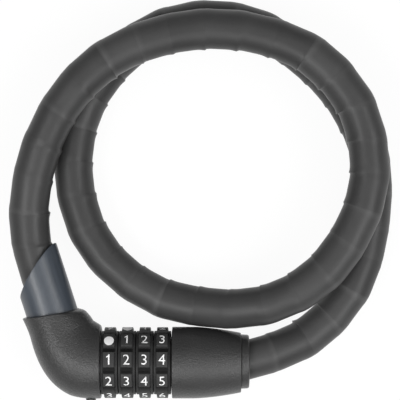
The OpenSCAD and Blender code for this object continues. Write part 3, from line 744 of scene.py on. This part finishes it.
flats = [flatDigit(str(d)) for d in range(dial["digits"])]
numerals = []
for k in range(1, dial["count"] + 1):
    numerals.append(makeNumerals(k, makeDial(k), flats))
for mesh in flats:
    bpy.data.meshes.remove(mesh)
print("dials and numerals made")


# materials
class Wiring:
    # short ways to add and join nodes
    def __init__(self, tree):
        # the tree that they go into
        self.tree = tree

    def add(self, kind, group=None, **values):
        # a node, with its group where it stands for one, and its inputs set by name
        node = self.tree.nodes.new(kind)
        if group:
            node.node_tree = group
        for key, value in values.items():
            node.inputs[key.replace("_", " ")].default_value = value
        return node

    def join(self, source, target):
        # source feeds target
        self.tree.links.new(source, target)

    def spread(self, source, low, high, fromLow=0.0, fromHigh=1.0):
        # low + (high - low) (source - fromLow) / (fromHigh - fromLow)
        node = self.add("ShaderNodeMapRange", From_Min=fromLow, From_Max=fromHigh, To_Min=low, To_Max=high)
        self.join(source, node.inputs["Value"])
        return node.outputs["Result"]

    def operate(self, kind, *sources):
        # the named sum, product, larger value or rounding of the sources
        node = self.tree.nodes.new("ShaderNodeMath")
        node.operation = kind
        for index, source in enumerate(sources):
            self.join(source, node.inputs[index])
        return node.outputs["Value"]

    def mix(self, kind, factor, second, first=None):
        # first + (second - first) factor; a first that nothing feeds is black
        node = self.tree.nodes.new("ShaderNodeMix")
        node.data_type = kind
        self.join(factor, node.inputs["Factor"])
        self.join(second, node.inputs["B"])
        if first:
            self.join(first, node.inputs["A"])
        return node

    def bump(self, height, distance):
        # the normal leans as if the surface stood out by height times distance
        node = self.add("ShaderNodeBump", Distance=distance)
        self.join(height, node.inputs["Height"])
        return node.outputs["Normal"]


class Finish(Wiring):
    # a material of that name, its nodes and its shader
    def __init__(self, name):
        self.material = bpy.data.materials.new(name)
        self.material.use_nodes = True
        super().__init__(self.material.node_tree)
        self.shader = self.tree.nodes["Principled BSDF"]

    def feed(self, label, source):
        # source feeds the shader's input of that name
        self.join(source, self.shader.inputs[label])


def newGroup(name, inputs, outputs):
    # an empty node group with the sockets listed, and its two end nodes
    group = bpy.data.node_groups.new(name, "ShaderNodeTree")
    for label, kind, value in inputs:
        socket = group.interface.new_socket(label, in_out="INPUT", socket_type=kind)
        if value is not None:
            socket.default_value = value
    for label, kind in outputs:
        group.interface.new_socket(label, in_out="OUTPUT", socket_type=kind)
    return Wiring(group), group.nodes.new("NodeGroupInput"), group.nodes.new("NodeGroupOutput")


def surfaceGroup():
    # grain: fine noise; patch: broad noise; both from 0 to 1, on the object's own coordinates
    group, start, end = newGroup(
        "moulded_surface",
        [("Grain Scale", "NodeSocketFloat", 3000), ("Patch Scale", "NodeSocketFloat", 90)],
        [("Grain", "NodeSocketFloat"), ("Patch", "NodeSocketFloat")])
    coordinates = group.add("ShaderNodeTexCoord")
    for label, detail in (("Grain", 3), ("Patch", 4)):
        noise = group.add("ShaderNodeTexNoise", Detail=detail, Roughness=0.55)
        group.join(coordinates.outputs["Object"], noise.inputs["Vector"])
        group.join(start.outputs[f"{label} Scale"], noise.inputs["Scale"])
        group.join(group.spread(noise.outputs["Fac"], 0, 1, 0.3, 0.7), end.inputs[label])
    return group.tree


def toneGroup():
    # colour = dark + (light - dark) t, where t = patch + (grain - patch) share
    group, start, end = newGroup(
        "two_tones",
        [("Dark", "NodeSocketColor", None), ("Light", "NodeSocketColor", None), ("Patch", "NodeSocketFloat", 0.5),
         ("Grain", "NodeSocketFloat", 0.5), ("Grain Share", "NodeSocketFloat", 0.3)],
        [("Color", "NodeSocketColor")])
    given = start.outputs
    share = group.mix("FLOAT", given["Grain Share"], given["Grain"], given["Patch"])
    tones = group.mix("RGBA", share.outputs["Result"], given["Light"], given["Dark"])
    group.join(tones.outputs["Result"], end.inputs["Color"])
    return group.tree


def grey(value):
    # the same value in all three colours
    return (value, value, value)


moulded, twoTones = surfaceGroup(), toneGroup()


def mouldedFinish(name, dark, light, rough, scales, grainShare, height, specular=0.5):
    # colour = dark to light by patch and grain; roughness = from low to high by patch; bump = height times grain;
    # scales are those of the grain and of the patches
    finish = Finish(name)
    surface = finish.add("ShaderNodeGroup", moulded, Grain_Scale=scales[0], Patch_Scale=scales[1])
    tones = finish.add("ShaderNodeGroup", twoTones, Dark=(*dark, 1), Light=(*light, 1), Grain_Share=grainShare)
    finish.join(surface.outputs["Patch"], tones.inputs["Patch"])
    finish.join(surface.outputs["Grain"], tones.inputs["Grain"])
    finish.feed("Base Color", tones.outputs["Color"])
    finish.feed("Roughness", finish.spread(surface.outputs["Patch"], *rough))
    finish.feed("Normal", finish.bump(surface.outputs["Grain"], height))
    finish.shader.inputs["Specular IOR Level"].default_value = specular
    return finish


blackMoulding = mouldedFinish("black_moulding", grey(0.023), grey(0.036), rough=(0.29, 0.37), scales=(1700, 140),
                              grainShare=0.65, height=0.085 * mm, specular=0.56).material


def dialFinish():
    # colour = the grooves' painted shade + (plain - that painted shade) grooveShadeEdgeLight; roughness falls as the
    # mask rises
    finish = mouldedFinish("dial_black", grey(0.036), grey(0.047), rough=(0.4, 0.5), scales=(2600, 220),
                           grainShare=0.3, height=0.012 * mm, specular=0.2)
    grooveShadeEdgeLight = finish.add("ShaderNodeAttribute")
    grooveShadeEdgeLight.attribute_name = "grooveShadeEdgeLight"
    plain = finish.shader.inputs["Base Color"].links[0].from_socket
    darken = finish.mix("RGBA", grooveShadeEdgeLight.outputs["Fac"], plain)
    # the grooves' colour, near black: a painted shade
    darken.inputs["A"].default_value = (*grey(0.005), 1)
    finish.feed("Base Color", darken.outputs["Result"])
    finish.feed("Roughness", finish.spread(grooveShadeEdgeLight.outputs["Fac"], 0.7, 0.45))
    return finish.material


dialBlack = dialFinish()
numeralInk = mouldedFinish("numeral_ink", grey(0.92), grey(0.97), rough=(0.4, 0.55), scales=(5000, 900),
                           grainShare=0.5, height=0.006 * mm).material


skinToneAndGlint = {
    "shells": (0.84, 1.14),   # the darkest and the lightest shell, as shares of the skin's tone
    "glintLift": 0.36,         # how much lighter the painted highlight band at a shell's end may be
    "glintShare": (0.25, 0.8), # chance below which a shell has no painted highlight band, and above which it has all of it
    "rise": (0.78, 0.92), "fall": (0.94, 1.0),   # where on a shell the painted highlight band comes and goes
}


def skinFinish():
    # uv x counts the shells: its whole part picks a chance for each shell, and its fraction places the band, a
    # painted highlight at the shell's end; colour = plain (shells by chance + glintLift rise fall glintShare)
    finish = mouldedFinish("cable_skin", grey(0.043), grey(0.054), rough=(0.34, 0.44), scales=(1900, 70),
                           grainShare=0.35, height=0.012 * mm, specular=0.28)
    uv = finish.add("ShaderNodeTexCoord").outputs["UV"]
    parts = finish.add("ShaderNodeSeparateXYZ")
    finish.join(uv, parts.inputs["Vector"])
    whole = finish.operate("FLOOR", parts.outputs["X"])
    chance = finish.add("ShaderNodeTexWhiteNoise")
    chance.noise_dimensions = "1D"
    finish.join(whole, chance.inputs["W"])
    place = finish.operate("FRACT", parts.outputs["X"])
    rise = finish.spread(place, 0, 1, *skinToneAndGlint["rise"])
    fall = finish.spread(place, 1, 0, *skinToneAndGlint["fall"])
    share = finish.spread(chance.outputs["Value"], 0, 1, *skinToneAndGlint["glintShare"])
    # band: a painted highlight at the end of each shell that chance picks
    band = finish.operate("MULTIPLY", finish.operate("MULTIPLY", rise, fall), share)
    shellTone = finish.spread(chance.outputs["Value"], *skinToneAndGlint["shells"])
    lift = finish.operate("ADD", shellTone, finish.spread(band, 0, skinToneAndGlint["glintLift"]))
    plain = finish.shader.inputs["Base Color"].links[0].from_socket
    scaled = finish.add("ShaderNodeVectorMath")
    scaled.operation = "SCALE"
    finish.join(plain, scaled.inputs["Vector"])
    finish.join(lift, scaled.inputs["Scale"])
    finish.feed("Base Color", scaled.outputs["Vector"])
    return finish.material


cableBlack = skinFinish()


sleeveTone = {
    "dark": (0.034, 0.043, 0.056, 1), "light": (0.052, 0.064, 0.082, 1),
    "streaks": (26, 1.2, 1),  # how often they come round the sleeve and along it
    "clear": (0.35, 0.65),    # the span of the noise that they use
    "rough": (0.33, 0.42), "grain": 0.012 * mm, "specular": 0.8,
}


def sleeveFinish():
    # soft streaks along the sleeve: noise on its own uv, stretched along the run
    finish = Finish("sleeve_blue_grey")
    coordinates = finish.add("ShaderNodeTexCoord")
    stretch = finish.add("ShaderNodeMapping", Scale=sleeveTone["streaks"])
    finish.join(coordinates.outputs["UV"], stretch.inputs["Vector"])
    streaks = finish.add("ShaderNodeTexNoise", Scale=1.0, Detail=3.0)
    finish.join(stretch.outputs["Vector"], streaks.inputs["Vector"])
    surface = finish.add("ShaderNodeGroup", moulded, Grain_Scale=2600, Patch_Scale=160)
    tones = finish.add("ShaderNodeGroup", twoTones, Grain_Share=0.25,
                       Dark=sleeveTone["dark"], Light=sleeveTone["light"])
    finish.join(finish.spread(streaks.outputs["Fac"], 0, 1, *sleeveTone["clear"]), tones.inputs["Patch"])
    finish.join(surface.outputs["Grain"], tones.inputs["Grain"])
    finish.feed("Base Color", tones.outputs["Color"])
    finish.feed("Roughness", finish.spread(streaks.outputs["Fac"], *sleeveTone["rough"], *sleeveTone["clear"]))
    finish.feed("Normal", finish.bump(surface.outputs["Grain"], sleeveTone["grain"]))
    finish.shader.inputs["Specular IOR Level"].default_value = sleeveTone["specular"]
    return finish.material


def metalFinish(name, dark, light, rough, scales, height):
    # the moulded finish with two fifths of its tone from the grain, as a metal
    finish = mouldedFinish(name, dark, light, rough, scales, 0.4, height)
    finish.shader.inputs["Metallic"].default_value = 1.0
    return finish.material


sleeveBlue = sleeveFinish()
# name, dark and light colour, roughness, scales of grain and patches, height of the grain
steel = metalFinish("turned_steel", grey(0.42), grey(0.6), (0.24, 0.4), (1800, 160), 0.008 * mm)
ropeSteel = metalFinish("rope_wire", grey(0.34), grey(0.5), (0.3, 0.45), (2600, 300), 0.01 * mm)
springSteel = metalFinish("spring_strip", (0.3, 0.33, 0.4), (0.45, 0.48, 0.55), (0.2, 0.32), (2400, 200), 0.004 * mm)
# the anchor block's zinc is coloured near black as a painted shade, so that the gap beside the housing where it
# shows reads dark
gapShadeZinc = metalFinish("blackened_zinc", grey(0.025), grey(0.045), (0.5, 0.65), (1500, 120), 0.03 * mm)
zinc = metalFinish("cast_zinc", grey(0.42), grey(0.56), (0.42, 0.6), (1500, 120), 0.03 * mm)
ferruleMetal = metalFinish("ferrule_metal", grey(0.55), grey(0.7), (0.3, 0.45), (1600, 200), 0.012 * mm)
darkBrass = metalFinish("dark_brass", (0.02, 0.016, 0.01), (0.04, 0.032, 0.02), (0.45, 0.6), (1800, 180), 0.006 * mm)
brass = metalFinish("turned_brass", (0.5, 0.34, 0.12), (0.68, 0.5, 0.2), (0.24, 0.38), (1800, 180), 0.006 * mm)


def dress(piece, material):
    # material in every slot of the piece, by the object where its mesh has slots already
    if piece.data.materials:
        for index in range(len(piece.data.materials)):
            piece.material_slots[index].link = "OBJECT"
            piece.material_slots[index].material = material
    else:
        piece.data.materials.append(material)


for piece in (housingShell, collarPiece, elbowShell, studPiece):
    dress(piece, blackMoulding)
dress(cableSkin, cableBlack)
dress(wireRope, ropeSteel)
dress(armour, steel)
dress(sleevePiece, sleeveBlue)
for k, piece in enumerate(numerals, 1):
    dress(piece, numeralInk)
    dress(bpy.data.objects[f"number_dial_{k}"], dialBlack)
nodeFinishes = {
    # the anchor block takes the near-black zinc, a painted shade for the gap beside the housing
    "anchor_block": gapShadeZinc, "elbow_core": zinc, "end_flange": zinc,
    "core_tube": steel, "plug_pin": steel, "tube_cross_pin": steel, "plug_pin_dowel": steel,
    "barrel_ferrule_pin": steel, "plug_ferrule_pin": steel,
    "barrel_ferrule": ferruleMetal, "plug_ferrule": ferruleMetal,
    "detent_strip": springSteel, "spacer_rings": darkBrass,
    **{f"code_ring_{k}": brass for k in range(1, dial["count"] + 1)},
}
for name, material in nodeFinishes.items():
    dress(frame["nodes"][name], material)
print("materials made")

# floor and light
studio = {
    "floorSize": 3.0, "floorZ": -0.0002, "floorGrey": 0.3, "world": 0.24,
    "plainWhite": 0.93,       # share of the seen floor that takes no light or shadow
    # place, size and power of each lamp
    "lamps": {
        "overhead": ((0, -0.62, 0.95), (2.6, 0.8), 9.6),
        "fill": ((0, 0.3, 1.3), (2.6, 0.8), 4),
        "front_left": ((-0.42, -0.3, 0.85), (0.7, 0.2), 2.8),
        "front_right": ((0.6, -0.15, 0.8), (0.7, 0.35), 3.2),
    },
}


def rayMask(nodes):
    # the largest of three marks: 1 for camera, glossy and transmission rays, 0 for the others
    ray = nodes.add("ShaderNodeLightPath").outputs
    larger = nodes.operate("MAXIMUM", ray["Is Camera Ray"], ray["Is Glossy Ray"])
    return nodes.operate("MAXIMUM", larger, ray["Is Transmission Ray"])


def makeFloor():
    # a square floor; seen rays find it lit (1 - plainWhite) + white plainWhite, and other rays find it grey
    size, z = studio["floorSize"], studio["floorZ"]
    mesh = bpy.data.meshes.new("floor")
    mesh.from_pydata([(-size, -size, z), (size, -size, z), (size, size, z), (-size, size, z)], [], [(0, 1, 2, 3)])
    floor = bpy.data.objects.new("floor", mesh)
    scene.collection.objects.link(floor)
    material = bpy.data.materials.new("floor_white")
    material.use_nodes = True
    nodes = Wiring(material.node_tree)
    nodes.tree.nodes.clear()
    out = nodes.add("ShaderNodeOutputMaterial")
    plain = nodes.add("ShaderNodeBsdfDiffuse", Color=(*grey(studio["floorGrey"]), 1))
    seen = nodes.add("ShaderNodeBsdfDiffuse", Color=(1, 1, 1, 1))
    glow = nodes.add("ShaderNodeEmission", Strength=1.0)
    seenMix = nodes.add("ShaderNodeMixShader", Fac=studio["plainWhite"])
    nodes.join(seen.outputs[0], seenMix.inputs[1])
    nodes.join(glow.outputs[0], seenMix.inputs[2])
    mix = nodes.add("ShaderNodeMixShader")
    nodes.join(rayMask(nodes), mix.inputs["Fac"])
    nodes.join(plain.outputs[0], mix.inputs[1])
    nodes.join(seenMix.outputs[0], mix.inputs[2])
    nodes.join(mix.outputs[0], out.inputs["Surface"])
    mesh.materials.append(material)


def makeWorld():
    # the same dim white from every side
    world = bpy.data.worlds.new("studio")
    scene.world = world
    world.use_nodes = True
    light = world.node_tree.nodes["Background"]
    light.inputs["Color"].default_value = (1, 1, 1, 1)
    light.inputs["Strength"].default_value = studio["world"]


def softLamp(name, place, size, power):
    # a rectangle of light that faces the origin
    data = bpy.data.lights.new(name, "AREA")
    data.shape = "RECTANGLE"
    data.size, data.size_y = size
    data.energy = power
    lamp = bpy.data.objects.new(name, data)
    lamp.location = place
    lamp.rotation_euler = (-Vector(place)).to_track_quat("-Z", "Y").to_euler()
    scene.collection.objects.link(lamp)


makeFloor()
makeWorld()
for name, (place, size, power) in studio["lamps"].items():
    softLamp(name, place, size, power)
print("studio made")
